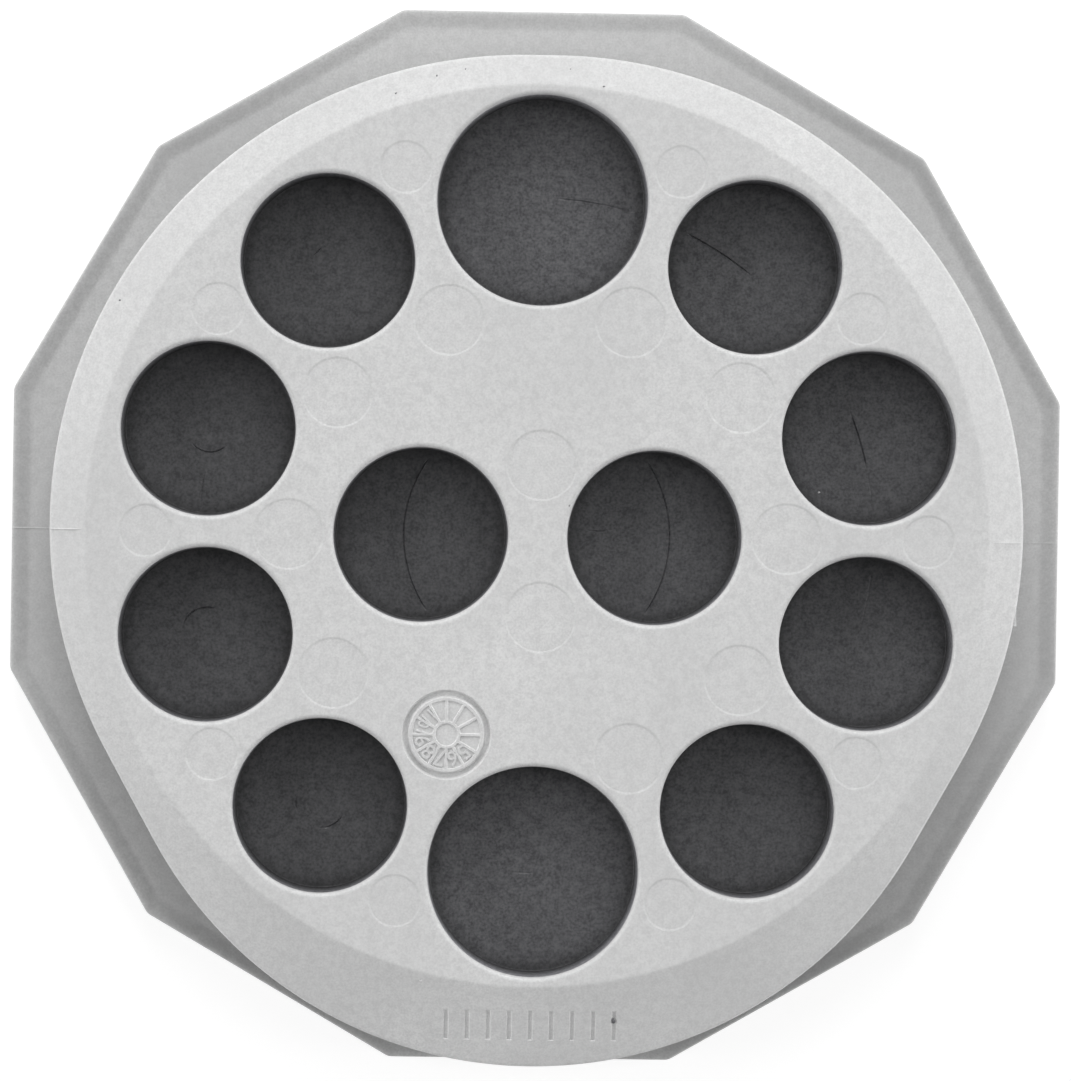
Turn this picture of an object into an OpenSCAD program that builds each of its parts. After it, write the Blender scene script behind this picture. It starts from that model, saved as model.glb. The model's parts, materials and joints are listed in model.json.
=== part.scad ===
// Round cable entry grommet: a soft light grey moulding that is hooked and snapped
// into a round hole in sheet metal. Each of its twelve windows is lined by a dark
// sleeve, and a dished membrane of the same piece closes it.
// It lies on its outer face. Z = 0 is that face, +Z points into the enclosure,
// and the Z axis is the axis of the hole in the sheet. The hook nose points to -Y.

/* [Sheet and hole] */
// Diameter of the hole in the sheet
hole_d = 63.5; // [62:0.5:72]
// Thickness of the sheet
sheet_t = 2.0; // [1:0.1:4]
// Gap between the neck and the edge of the hole, on each side
neck_gap = 0.25; // [0.1:0.05:0.6]

/* [Flange] */
// How far the flats of the flange reach past the edge of the hole
flange_cover = 4.75; // [4:0.25:12]
// Number of sides of the flange
flange_sides = 12; // [8:1:16]
// Thickness of the flange inside its sealing border
flange_t = 2.0; // [1.4:0.1:4]
// Radius of the flange's corners, seen from above
corner_r = 1.0; // [0.8:0.1:4]
// Radius of the outer edge of the flange, at the outer face
outer_edge_r = 0.7; // [0.3:0.1:0.8]

/* [Sealing border] */
// Rise of the sealing border above the flange
border_h = 0.45; // [0.2:0.05:1]
// Width of the sloping side of the sealing border
border_slope_w = 1.1; // [0.4:0.1:2]
// Width of the crest of the sealing border, with its rounded edge
border_crest_w = 0.2; // [0.15:0.05:1]
// Radius of the edge at the crest
crest_edge_r = 0.12; // [0.06:0.02:0.18]
// Radius of the corners at the foot of the sloping side
foot_corner_r = 1.2; // [0.5:0.1:3]
// How far the sheet squeezes the sealing border
border_squeeze = 0.05; // [0:0.05:0.3]

/* [Snap lip] */
// How far the edge of the flat inner face stays inside the edge of the hole
face_margin = 0.75; // [0.25:0.25:3]
// How much the radius of the two side lobes exceeds the radius of the hole
lobe_grip = 0.7; // [0.3:0.05:2]
// Distance of each lobe's centre from the axis
lobe_shift = 1.2; // [0.4:0.1:2]
// Direction of the right lobe from the +X axis, with the left lobe mirrored
lobe_angle = 30; // [10:5:60]
// How much the radius of the hook nose is under the radius of the hole
nose_narrowing = 2.35; // [1:0.05:5]
// How far the hook nose reaches past the edge of the hole
nose_grip = 5; // [3:0.1:7]
// Fall of the lip's conical top below the flat face
lip_slope = 22; // [12:1:30]
// Thickness of the lip at the tip of the nose
nose_tip_t = 0.75; // [0.6:0.05:2]
// Radius of the lip's upper edge
lip_edge_r = 0.35; // [0.1:0.05:0.4]
// Bevel of the lip's lower edge
lip_bevel = 0.15; // [0.05:0.05:0.2]

/* [Windows] */
// How much wider the bores of the two large cable entries are than the ten small ones.
// The ring of windows fills the neck, so the bores follow from it and from these walls.
bore_step = 2.5; // [0:0.1:5]
// Wall between the sleeves of the small ring windows and the outside of the neck
small_wall = 1.3; // [0.6:0.1:3]
// Wall between the sleeves of the large windows and the outside of the neck
large_wall = 0.75; // [0.5:0.05:3]
// Wall between the sleeves of neighbouring small ring windows
side_web = 1.35; // [0.8:0.05:3]
// Wall between the sleeve of a large window and the small ones beside it
large_web = 1.28; // [0.8:0.02:3]
// Wall between the sleeves of the two centre windows
centre_web = 3.28; // [1:0.02:4]
// Bevel that leads a cable into each entry at the outer face
entry_bevel = 0.5; // [0.2:0.05:0.6]
// Bevel at the mouth of each window in the flat inner face
mouth_bevel = 0.15; // [0.05:0.05:0.2]

/* [Membranes and sleeves] */
// Depth of the membranes' edge below the flat inner face
recess_depth = 3.3; // [2:0.1:4]
// Draft of the recess above each membrane
recess_draft = 3; // [0:0.5:5]
// Thickness of a membrane at its edge
membrane_t = 0.8; // [0.7:0.1:1.6]
// Depth of the shallow hollow in the inner face of a membrane
dish_depth = 0.2; // [0.1:0.05:0.4]
// Width of the flat ring between the hollow and the foot of the sleeve
dish_land = 0.15; // [0.1:0.05:0.5]
// Thickness of a sleeve at its foot
sleeve_t = 0.55; // [0.4:0.05:0.6]
// Height of the light rim that covers the top of each sleeve
rim_h = 0.3; // [0.25:0.05:0.6]

/* [Hidden] */
$fn = 96;
body_colour = "gainsboro";
membrane_colour = "dimgray";

// Radii that follow from the hole in the sheet
hole_r = hole_d / 2;
neck_r = hole_r - neck_gap;
face_r = hole_r - face_margin;
lobe_r = hole_r + lobe_grip;
nose_r = hole_r - nose_narrowing;
nose_reach = hole_r + nose_grip;
flange_flats = hole_d + 2 * flange_cover;

// Heights above the outer face
crest_z = flange_t + border_h;
lip_z = crest_z + sheet_t - border_squeeze;
face_z = lip_z + nose_tip_t + (nose_reach - face_r) * tan(lip_slope);
sleeve_top_z = face_z - rim_h;
membrane_top_z = face_z - recess_depth;
membrane_z = membrane_top_z - membrane_t;

// Radii of the window rings, for a given radius of the small sleeves
function small_ring(sleeve_r) = neck_r - small_wall - sleeve_r;
function large_ring(sleeve_r) = neck_r - large_wall - sleeve_r - bore_step / 2;

// Angle between two small windows of the ring, and between a small and a large one
function side_angle(sleeve_r) =
    2 * asin((2 * sleeve_r + side_web) / (2 * small_ring(sleeve_r)));
function large_angle(sleeve_r) =
    let (small = small_ring(sleeve_r),
         large = large_ring(sleeve_r),
         apart = 2 * sleeve_r + bore_step / 2 + large_web)
    acos((small * small + large * large - apart * apart) / (2 * small * large));

// The radius of the small sleeves at which the windows fill the ring
function filling_r(low, high, halvings) =
    let (middle = (low + high) / 2)
    halvings == 0 ? middle
    : 3 * side_angle(middle) + 2 * large_angle(middle) > 180
        ? filling_r(low, middle, halvings - 1)
        : filling_r(middle, high, halvings - 1);

// Each window is [x, y, bore]
small_sleeve_r = filling_r(neck_r / 8, neck_r / 4, 30);
small_bore = 2 * (small_sleeve_r - sleeve_t);
large_bore = small_bore + bore_step;
small_ring_r = small_ring(small_sleeve_r);
large_ring_r = large_ring(small_sleeve_r);
centre_shift = small_sleeve_r + centre_web / 2;
window_angle = side_angle(small_sleeve_r);
small_angles = [for (side = [0, 180]) for (k = [-1.5:1:1.5]) side + k * window_angle];
small_windows = [for (a = small_angles) [small_ring_r * cos(a), small_ring_r * sin(a), small_bore]];
centre_windows = [for (side = [1, -1]) [side * centre_shift, 0, small_bore]];
large_windows = [for (side = [1, -1]) [0, side * large_ring_r, large_bore]];
windows = concat(small_windows, centre_windows, large_windows);

// Solids that join run this far into each other, and cuts run this far past a face
overlap = 0.4;

// Outline of the lip: three circles and the straight lines that touch them.
// Each entry is [centre, radius, direction of the outline's normal].
arc_steps = 40;
edge_steps = 4;
right_centre = lobe_shift * [cos(lobe_angle), sin(lobe_angle)];
left_centre = [-right_centre.x, right_centre.y];
nose_centre = [0, nose_r - nose_reach];
to_nose = nose_centre - left_centre;
touch_angle = atan2(to_nose.y, to_nose.x) + 360 - acos((lobe_r - nose_r) / norm(to_nose));
function arc(centre, radius, from, to) =
    [for (k = [0:arc_steps]) [centre, radius, from + (to - from) * k / arc_steps]];
lip_outline = concat(
    arc(right_centre, lobe_r, 180 - touch_angle, 90),
    arc(left_centre, lobe_r, 90, touch_angle),
    arc(nose_centre, nose_r, touch_angle, 540 - touch_angle));

// A point of the outline, moved inwards
function inset_point(place, inset) =
    place[0] + (place[1] - inset) * [cos(place[2]), sin(place[2])];
function cone_z(point) = face_z - (norm(point) - face_r) * tan(lip_slope);

// The lip's section at one place of the outline, from its underside to the flat face
function lip_section(place) =
    let (inset = lip_edge_r * (1 - sin(lip_slope)),
         edge_end = inset_point(place, inset),
         ball_z = cone_z(edge_end) - lip_edge_r * cos(lip_slope),
         under = inset_point(place, lip_bevel),
         side = inset_point(place, 0),
         face = edge_end * face_r / norm(edge_end))
    concat(
        [[under.x, under.y, lip_z], [side.x, side.y, lip_z + lip_bevel]],
        [for (k = [0:edge_steps])
            let (turn = (90 - lip_slope) * k / edge_steps,
                 point = inset_point(place, lip_edge_r * (1 - cos(turn))))
            [point.x, point.y, ball_z + lip_edge_r * sin(turn)]],
        [[face.x, face.y, face_z]]);

module lip() {
    sections = [for (place = lip_outline) lip_section(place)];
    columns = len(sections);
    rows = len(sections[0]);
    points = [for (section = sections) for (point = section) point];
    bottom = [for (c = [0:columns - 1]) c * rows];
    top = [for (c = [columns - 1:-1:0]) c * rows + rows - 1];
    sides = [for (c = [0:columns - 1]) for (r = [0:rows - 2])
        let (here = c * rows + r, next = (c + 1) % columns * rows + r)
        [here, here + 1, next + 1, next]];
    polyhedron(points, concat([bottom, top], sides));
}

// Corners of a regular polygon given by its width across flats, with a flat at +X
function flats_polygon(width) =
    [for (k = [0:flange_sides - 1])
        let (a = (k + 0.5) * 360 / flange_sides)
        width / 2 / cos(180 / flange_sides) * [cos(a), sin(a)]];

// A rounded plate with a raised sealing border
module flange() {
    difference() {
        hull()
            for (corner = flats_polygon(flange_flats - 2 * corner_r))
                translate(corner) {
                    edge_disc(outer_edge_r, outer_edge_r);
                    edge_disc(crest_edge_r, crest_z - crest_edge_r);
                }
        border_hollow();
    }
}

// Rounded edge of one corner of the flange, as a disc
module edge_disc(edge_r, z) {
    translate([0, 0, z])
        rotate_extrude($fn = 48)
            intersection() {
                translate([corner_r - edge_r, 0])
                    circle(r = edge_r, $fn = 16);
                translate([0, -edge_r])
                    square([corner_r, 2 * edge_r]);
            }
}

// Hollow inside the sealing border, which widens towards the crest
module border_hollow() {
    foot_flats = flange_flats - 2 * (border_crest_w + border_slope_w);
    height = border_h + overlap;
    top_r = foot_corner_r + height * border_slope_w / border_h;
    translate([0, 0, flange_t])
        hull()
            for (corner = flats_polygon(foot_flats - 2 * foot_corner_r))
                translate(corner)
                    cylinder(r1 = foot_corner_r, r2 = top_r, h = height, $fn = 48);
}

// Outer shape of a membrane with its sleeve, which is also its seat in the body
module sleeve_blank(bore_r) {
    translate([0, 0, membrane_z])
        cylinder(r = bore_r + sleeve_t, h = sleeve_top_z - membrane_z);
}

// The drafted recess above a membrane, past the flat face
module recess(bore_r) {
    height = recess_depth + overlap;
    translate([0, 0, membrane_top_z])
        cylinder(r1 = bore_r, r2 = bore_r + height * tan(recess_draft), h = height);
}

// A 45 degree cone with radius low_r at low_z and high_r at high_z, longer at both ends
module bevel_cone(low_r, high_r, low_z, high_z) {
    longer = high_r > low_r ? overlap : -overlap;
    translate([0, 0, low_z - overlap])
        cylinder(r1 = low_r - longer, r2 = high_r + longer, h = high_z - low_z + 2 * overlap);
}

// Everything that is cut out of the body for one window
module window_cut(window) {
    bore_r = window[2] / 2;
    mouth_r = bore_r + (recess_depth - mouth_bevel) * tan(recess_draft);
    translate([window.x, window.y, 0]) {
        translate([0, 0, -overlap])
            cylinder(r = bore_r, h = membrane_z + 2 * overlap);
        bevel_cone(bore_r + entry_bevel, bore_r, 0, entry_bevel);
        sleeve_blank(bore_r);
        recess(bore_r);
        bevel_cone(mouth_r, mouth_r + mouth_bevel, face_z - mouth_bevel, face_z);
    }
}

module body() {
    color(body_colour)
        difference() {
            union() {
                flange();
                translate([0, 0, flange_t - overlap])
                    cylinder(r = neck_r, h = lip_z - flange_t + 2 * overlap, $fn = 180);
                lip();
            }
            for (window = windows)
                window_cut(window);
        }
}

// The shallow hollow in the inner face of a membrane
module dish(bore_r) {
    dish_r = bore_r - dish_land;
    ball_r = (dish_r * dish_r + dish_depth * dish_depth) / (2 * dish_depth);
    intersection() {
        translate([0, 0, membrane_top_z + ball_r - dish_depth])
            sphere(r = ball_r, $fn = 360);
        translate([0, 0, membrane_z])
            cylinder(r = bore_r - dish_land / 2, h = membrane_t + overlap);
    }
}

// A dark cup: the dished membrane and the sleeve that lines its window
module membrane(window) {
    bore_r = window[2] / 2;
    color(membrane_colour)
        translate([window.x, window.y, 0])
            difference() {
                sleeve_blank(bore_r);
                recess(bore_r);
                dish(bore_r);
            }
}

body();
for (k = [0:len(small_windows) - 1])
    membrane(small_windows[k]);
for (k = [0:len(centre_windows) - 1])
    membrane(centre_windows[k]);
for (k = [0:len(large_windows) - 1])
    membrane(large_windows[k]);
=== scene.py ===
import json
from math import acos, atan2, ceil, copysign, cos, degrees, hypot, pi, radians, sin, sqrt, tan, tau

import bmesh
import bpy
from mathutils import Matrix, Vector
from mathutils.geometry import delaunay_2d_cdt


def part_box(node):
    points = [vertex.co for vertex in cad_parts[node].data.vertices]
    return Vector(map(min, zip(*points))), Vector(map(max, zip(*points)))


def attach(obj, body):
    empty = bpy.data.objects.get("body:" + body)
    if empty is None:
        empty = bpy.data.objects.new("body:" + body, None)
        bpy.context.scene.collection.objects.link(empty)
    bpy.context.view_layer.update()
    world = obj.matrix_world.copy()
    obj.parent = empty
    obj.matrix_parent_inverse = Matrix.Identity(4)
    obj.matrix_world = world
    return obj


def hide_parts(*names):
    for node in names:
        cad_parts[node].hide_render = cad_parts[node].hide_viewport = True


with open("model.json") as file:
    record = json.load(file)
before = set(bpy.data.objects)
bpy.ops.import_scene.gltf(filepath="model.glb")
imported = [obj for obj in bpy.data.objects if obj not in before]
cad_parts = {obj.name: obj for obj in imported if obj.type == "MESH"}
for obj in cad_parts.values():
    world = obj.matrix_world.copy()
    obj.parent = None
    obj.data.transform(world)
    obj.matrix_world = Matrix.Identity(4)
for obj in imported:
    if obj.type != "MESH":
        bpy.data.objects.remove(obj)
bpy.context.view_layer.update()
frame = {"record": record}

# Lengths are in millimetres, in the model's own frame, until a mesh is made.
mm = 0.001
faceTop = (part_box("body")[1] / mm).z
ringStart = 1.7501  # direction in which every ring of points starts, radians

sizes = {
    "faceRadius": 31.0,  # flat inner face
    "faceBlend": 0.12,  # half width of the soft edge between the flat face and the cone
    "lobeRadius": 32.53,
    "lobeShift": 1.2,
    "lobeAngle": 30,
    "noseRadius": 29.8,
    "noseShift": 6.95,
    "lipSlope": 22,
    "lipEdge": 0.35,
    "lipBevel": 0.15,
    "lipBase": 4.4,
    "neckRadius": 31.5,
    "neckFillet": 0.2,
    "flangeFlats": 73.0,
    "flangeSides": 12,
    "flangeTop": 2.0,
    "crestTop": 2.2,
    "cornerRadius": 1.0,
    "cornerLeast": 0.3,
    "footCorner": 1.2,
    "outerEdge": 0.7,
    "crestEdge": 0.12,
    "crestWidth": 0.2,
    "slopeWidth": 1.1,
    "mouthRound": 0.30,  # edge of each window at the inner face
    "rimHeight": 0.45,  # light rim above the dark sleeve in each window
    "recessDepth": 3.3,
    "recessDraft": 3,
    "seatDepth": 0.55,
    "entryBevel": 0.5,
    "sharpAngle": 34,
}
lipInset = sizes["lipEdge"] * (1 - sin(radians(sizes["lipSlope"])))
slopeTan = tan(radians(sizes["lipSlope"]))
recessTan = tan(radians(sizes["recessDraft"]))
recessGrow = sizes["recessDepth"] * recessTan


# Small geometry helpers

def polarOf(x, y):
    return atan2(y, x)


def around(x, y, radius, turn):
    # The point at a distance from a centre, in one direction
    return x + radius * cos(turn), y + radius * sin(turn)


def circleLoop(x, y, radius, count):
    return [around(x, y, radius, (k + 0.5) * tau / count) for k in range(count)]


def arcLine(x, y, radius, start, end, step=0.35):
    count = max(3, ceil(abs(radians(end - start)) * radius / step))
    turns = [radians(start + (end - start) * k / count) for k in range(count + 1)]
    return [around(x, y, radius, turn) for turn in turns]


def fromStart(polar):
    return (polar - ringStart) % tau


def inOrder(indices, points, x, y):
    # Sorts the corners of a ring by their direction from its centre
    return sorted(indices, key=lambda i: fromStart(polarOf(points[i][0] - x, points[i][1] - y)))


def ramp(distance, width):
    # 1 inside an outline, 0 outside, sloping over the width
    return min(1.0, max(0.0, 0.5 - distance / width))


def smooth(share):
    share = min(1.0, max(0.0, share))
    return share * share * (3 - 2 * share)


def band(distance, inner, outer, edge):
    # 1 between two radii, 0 outside them, sloping over the width of the edge
    return min(ramp(distance - outer, edge), ramp(inner - distance, edge))


def quarterTurn(steps):
    # A rounded edge: how far each of its rows stands from both of the edge's ends, by the radius
    turns = [pi / 2 * k / steps for k in range(steps + 1)]
    return [(1 - sin(turn), 1 - cos(turn)) for turn in turns]


def segmentDistance(x, y, ax, ay, bx, by):
    dx, dy = bx - ax, by - ay
    along = ((x - ax) * dx + (y - ay) * dy) / (dx * dx + dy * dy)
    along = min(1.0, max(0.0, along))
    return hypot(x - ax - along * dx, y - ay - along * dy)


def lineDistance(x, y, line):
    return min(segmentDistance(x, y, *a, *b) for a, b in zip(line, line[1:]))


def besideLine(line, offset):
    # The same line moved sideways
    moved = []
    for k, (x, y) in enumerate(line):
        ax, ay = line[max(0, k - 1)]
        bx, by = line[min(len(line) - 1, k + 1)]
        length = hypot(bx - ax, by - ay)
        moved.append((x - (by - ay) / length * offset, y + (bx - ax) / length * offset))
    return moved


def planeMesh(loops, lines, keep):
    # Fills a flat outline with triangles whose edges follow every loop and line
    coords, edges = [], []
    for chain, closed in [(c, 1) for c in loops] + [(c, 0) for c in lines]:
        first, count = len(coords), len(chain)
        coords += chain
        edges += [(first + k, first + (k + 1) % count) for k in range(count - 1 + closed)]
    points, _, faces, _, _, _ = delaunay_2d_cdt([Vector(c) for c in coords], edges, [], 1, 1e-5)
    kept = []
    for face in faces:
        x = sum(points[i].x for i in face) / len(face)
        y = sum(points[i].y for i in face) / len(face)
        if keep(x, y):
            kept.append(list(face))
    return points, kept


def openRings(faces):
    used = {edge for face in faces for edge in zip(face, face[1:] + face[:1])}
    follow = {a: b for a, b in used if (b, a) not in used}
    rings = []
    while follow:
        start = min(follow)
        ring, here = [start], follow.pop(start)
        while here != start:
            ring.append(here)
            here = follow.pop(here)
        rings.append(ring)
    return rings


class Shell:
    # Gathers points and faces of one closed mesh

    def __init__(self):
        self.points = []
        self.faces = []

    def sheet(self, plane, faces, heightAt):
        # Adds a plan mesh at its heights and returns its open rings
        first = len(self.points)
        used = sorted({i for face in faces for i in face})
        place = {i: first + k for k, i in enumerate(used)}
        for i in used:
            x, y = plane[i]
            self.points.append((x, y, heightAt(x, y)))
        added = [[place[i] for i in face] for face in faces]
        self.faces += added
        return openRings(added)

    def bridge(self, upper, lower):
        count = len(upper)
        for k in range(count):
            n = (k + 1) % count
            self.faces.append([upper[k], lower[k], lower[n], upper[n]])

    def bridgeRows(self, upper, rows):
        # Joins a ring to rows of points, one after the other, and returns the last
        for row in rows:
            first = len(self.points)
            self.points += row
            lower = list(range(first, first + len(row)))
            self.bridge(upper, lower)
            upper = lower
        return upper

    def bridgeCircles(self, upper, x, y, circles):
        # The same with circles round one centre, given as radius and height
        turns = [polarOf(self.points[i][0] - x, self.points[i][1] - y) for i in upper]
        return self.bridgeRows(upper, [circleRow(turns, radius, z, x, y) for radius, z in circles])

    def finish(self, name, sharpAngle, material, slotName, nodes=()):
        mesh = meshOf(name, self.points, self.faces)
        mesh.update()
        turnOutwards(mesh)
        smoothFaces(mesh)
        mesh.set_sharp_from_angle(angle=radians(sharpAngle))
        return placePiece(name, mesh, material, nodes)


def circleRow(turns, radius, z, x=0, y=0):
    return [(*around(x, y, radius, turn), z) for turn in turns]


def meshOf(name, points, faces):
    mesh = bpy.data.meshes.new(name)
    mesh.from_pydata([[v * mm for v in p] for p in points], [], faces)
    return mesh


def smoothFaces(mesh):
    mesh.polygons.foreach_set("use_smooth", [True] * len(mesh.polygons))


def rework(mesh, change):
    work = bmesh.new()
    work.from_mesh(mesh)
    change(work)
    work.to_mesh(mesh)
    work.free()


def turnOutwards(mesh):
    rework(mesh, lambda work: bmesh.ops.recalc_face_normals(work, faces=work.faces))


def weld(mesh):
    # Text turned into a mesh comes with its caps and sides apart
    rework(mesh, lambda work: bmesh.ops.remove_doubles(work, verts=work.verts, dist=1e-8))


def addObject(name, data):
    added = bpy.data.objects.new(name, data)
    bpy.context.scene.collection.objects.link(added)
    return added


def placePiece(name, mesh, material, nodes=()):
    mesh.materials.append(material)
    piece = addObject(name, mesh)
    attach(piece, "root")
    if nodes:
        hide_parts(*nodes)
    return piece


# Windows: centre, bore and outer face of each membrane come from the frame

windowCorners = {"small": 96, "large": 120, "largeFrom": 6.5}  # corners of its circles, by its bore


def readWindows():
    windows = []
    for mount in frame["record"]["mounts"]:
        if mount["kind"] != "bore":
            continue
        node = mount["name"].replace("entry", "membrane")
        bore = mount["dims"]["r_mm"]
        windows.append({
            "node": node,
            "x": mount["pos_m"][0] / mm,
            "y": mount["pos_m"][1] / mm,
            "bore": bore,
            "mouth": bore + recessGrow + sizes["mouthRound"],
            "entry": bore + sizes["entryBevel"],
            "bottom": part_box(node)[0].z / mm,
            "top": faceTop - sizes["recessDepth"],
            "sleeveTop": faceTop - sizes["rimHeight"],
            "count": windowCorners["small" if bore < windowCorners["largeFrom"] else "large"],
        })
    return windows


windows = readWindows()


def windowLoops(window, edge, steps):
    # Rings of points outside one of a window's edges
    return [circleLoop(window["x"], window["y"], window[edge] + step, window["count"]) for step in steps]


def outsideWindows(edge):
    # Tells whether a place lies outside that edge of every window
    def keep(x, y):
        for window in windows:
            apothem = window[edge] * cos(pi / window["count"])
            if hypot(x - window["x"], y - window["y"]) < apothem:
                return False
        return True

    return keep


# Nodes, and the node groups that both materials share

def feed(tree, socket, value):
    # Links a socket, or sets it where the value is a number or a colour
    if isinstance(value, bpy.types.NodeSocket):
        tree.links.new(value, socket)
    else:
        socket.default_value = (*value, 1.0) if isinstance(value, tuple) else value


def addNode(tree, kind, values):
    # The outputs of a new node, with its inputs fed by label or by place
    node = tree.nodes.new("ShaderNode" + kind)
    for label, value in values.items():
        feed(tree, node.inputs[label], value)
    return node.outputs


def addMath(tree, operation, a, b, clamp=False):
    node = tree.nodes.new("ShaderNodeMath")
    node.operation = operation
    node.use_clamp = clamp
    feed(tree, node.inputs[0], a)
    feed(tree, node.inputs[1], b)
    return node.outputs[0]


def times(tree, a, b):
    return addMath(tree, "MULTIPLY", a, b)


def addNoise(tree, vector, scale, detail, roughness=0.5):
    values = {"Vector": vector, "Scale": scale, "Detail": detail, "Roughness": roughness}
    return addNode(tree, "TexNoise", values)[0]


def addRange(tree, value, low, high, newLow, newHigh):
    values = {"Value": value, "From Min": low, "From Max": high, "To Min": newLow, "To Max": newHigh}
    return addNode(tree, "MapRange", values)[0]


def addMix(tree, share, first, second):
    node = tree.nodes.new("ShaderNodeMix")
    node.data_type = "RGBA"
    for place, value in ((0, share), (6, first), (7, second)):
        feed(tree, node.inputs[place], value)
    return node.outputs[2]


def objectPlace(tree):
    return addNode(tree, "TexCoord", {})["Object"]


def splitPlace(tree):
    return addNode(tree, "SeparateXYZ", {0: objectPlace(tree)})


def newGroup(name, inputs, outputs):
    group = bpy.data.node_groups.new(name, "ShaderNodeTree")
    for direction, labels in (("INPUT", inputs), ("OUTPUT", outputs)):
        for label in labels:
            group.interface.new_socket(label, in_out=direction, socket_type="NodeSocketFloat")
    return group, group.nodes.new("NodeGroupInput").outputs, group.nodes.new("NodeGroupOutput").inputs


groupLook = {
    "coarser": 0.28,  # scale of the coarse grain, by the fine one's
    "fineShare": 0.65,
    "coarseShare": 0.35,
    "middle": 0.5,
    "flowLow": 0.3,
    "flowHigh": 0.7,
    "dustFrom": 0.985,  # the share of cells that hold no speck
}


def makeGrainGroup():
    # Fine moulded grain: a mask round the middle for the colour, and a height
    group, inputs, outputs = newGroup("mouldedGrain", ["Scale", "Contrast"], ["Mask", "Height"])
    place = objectPlace(group)
    fine = addNoise(group, place, inputs["Scale"], 3.0, 0.6)
    coarse = addNoise(group, place, times(group, inputs["Scale"], groupLook["coarser"]), 2.0)
    fine = times(group, fine, groupLook["fineShare"])
    coarse = times(group, coarse, groupLook["coarseShare"])
    both = addMath(group, "ADD", fine, coarse)
    centred = addMath(group, "SUBTRACT", both, groupLook["middle"])
    spread = times(group, centred, inputs["Contrast"])
    feed(group, outputs["Mask"], addMath(group, "ADD", spread, groupLook["middle"], True))
    feed(group, outputs["Height"], both)
    return group


def makeFlowGroup():
    # Soft clouds left by the flow of the melt, drawn out along one direction
    group, inputs, outputs = newGroup("meltFlow", ["Scale", "Stretch"], ["Mask"])
    x, y, z = splitPlace(group)
    drawn = times(group, y, inputs["Stretch"])
    joined = addNode(group, "CombineXYZ", {0: x, 1: drawn, 2: z})[0]
    cloud = addNoise(group, joined, inputs["Scale"], 3.5, 0.55)
    low, high = groupLook["flowLow"], groupLook["flowHigh"]
    feed(group, outputs["Mask"], addRange(group, cloud, low, high, 0.0, 1.0))
    return group


def makeDustGroup():
    # Sparse small specks
    group, inputs, outputs = newGroup("looseDust", ["Scale", "Size"], ["Mask"])
    cells = addNode(group, "TexVoronoi", {"Vector": objectPlace(group), "Scale": inputs["Scale"]})
    tone = addNode(group, "SeparateColor", {0: cells["Color"]})[0]
    chosen = addMath(group, "GREATER_THAN", tone, groupLook["dustFrom"])
    core = addRange(group, cells["Distance"], inputs["Size"], 0.0, 0.0, 1.0)
    feed(group, outputs["Mask"], times(group, core, chosen))
    return group


sharedGroups = {"grain": makeGrainGroup(), "flow": makeFlowGroup(), "dust": makeDustGroup()}


def addHeightCurve(tree, stops):
    # A value that follows the height above the outer face, through stops of height in mm and value
    low, high = stops[0][0], stops[-1][0]
    share = addRange(tree, splitPlace(tree)[2], low * mm, high * mm, 0.0, 1.0)
    curve = tree.nodes.new("ShaderNodeValToRGB")
    feed(tree, curve.inputs[0], share)
    marks = curve.color_ramp.elements
    for height, _ in stops[1:-1]:
        marks.new((height - low) / (high - low))
    for mark, (_, value) in zip(marks, stops):
        mark.color = (value, value, value, 1)
    return curve.outputs[0]


def startMaterial(name, finish):
    # A material with the shared groups in it, set as its finish says
    material = bpy.data.materials.new(name)
    material.use_nodes = True
    groups = []
    for label, group in sharedGroups.items():
        node = material.node_tree.nodes.new("ShaderNodeGroup")
        node.node_tree = group
        for socket, value in finish[label].items():
            node.inputs[socket].default_value = value
        groups.append(node.outputs)
    return material, material.node_tree, groups


def finishMaterial(tree, finish, colour, grain, dust):
    # What both materials end with: dust, painted light and shade by height, roughness and a fine bump
    dustShare = times(tree, dust["Mask"], finish["dustShare"])
    dusty = addMix(tree, dustShare, colour, finish["dustColour"])
    # Painted light and shade: the colour's brightness follows the height, through the stops in each finish
    paintedLightAndShade = addHeightCurve(tree, finish["paintedLightAndShadeByHeight"])
    bump = {"Strength": finish["bump"], "Distance": finish["bumpHeight"], "Height": grain["Height"]}
    inputs = {
        "Base Color": addNode(tree, "HueSaturation", {"Color": dusty, "Value": paintedLightAndShade})[0],
        "Roughness": addRange(tree, grain["Mask"], *finish["grainRange"], *finish["roughness"]),
        "Specular IOR Level": finish["specular"],
        "Normal": addNode(tree, "Bump", bump)[0],
    }
    shader = tree.nodes["Principled BSDF"]
    for label, value in inputs.items():
        feed(tree, shader.inputs[label], value)


bothFinishes = {
    "dustShare": 0.5,
    "grainRange": (0.2, 0.8),  # values of the grain's mask between which the roughness goes up
    "bumpHeight": 0.00003,  # metres
}

lightFinish = {
    **bothFinishes,
    "colour": (0.725, 0.727, 0.725),
    "cloudDark": (0.635, 0.637, 0.637),
    "grainDark": (0.530, 0.530, 0.532),
    "grainShare": 0.75,
    # Painted shade by height: the flange and the neck darker, as the lip's shade on them, and darker still
    # on the sealing border's slope; full colour from the lip up
    "paintedLightAndShadeByHeight": [
        (1.9, 0.84), (2.005, 0.84), (2.04, 0.78), (2.15, 0.76), (2.2, 0.82), (2.4, 0.84), (4.2, 1.0),
    ],
    "dustColour": (0.46, 0.45, 0.43),
    "roughness": (0.50, 0.62),
    "specular": 0.42,
    "bump": 0.10,
    "grain": {"Scale": 6500.0, "Contrast": 4.0},
    "flow": {"Scale": 85.0, "Stretch": 0.55},
    "dust": {"Scale": 1100.0, "Size": 0.10},
}


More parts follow.
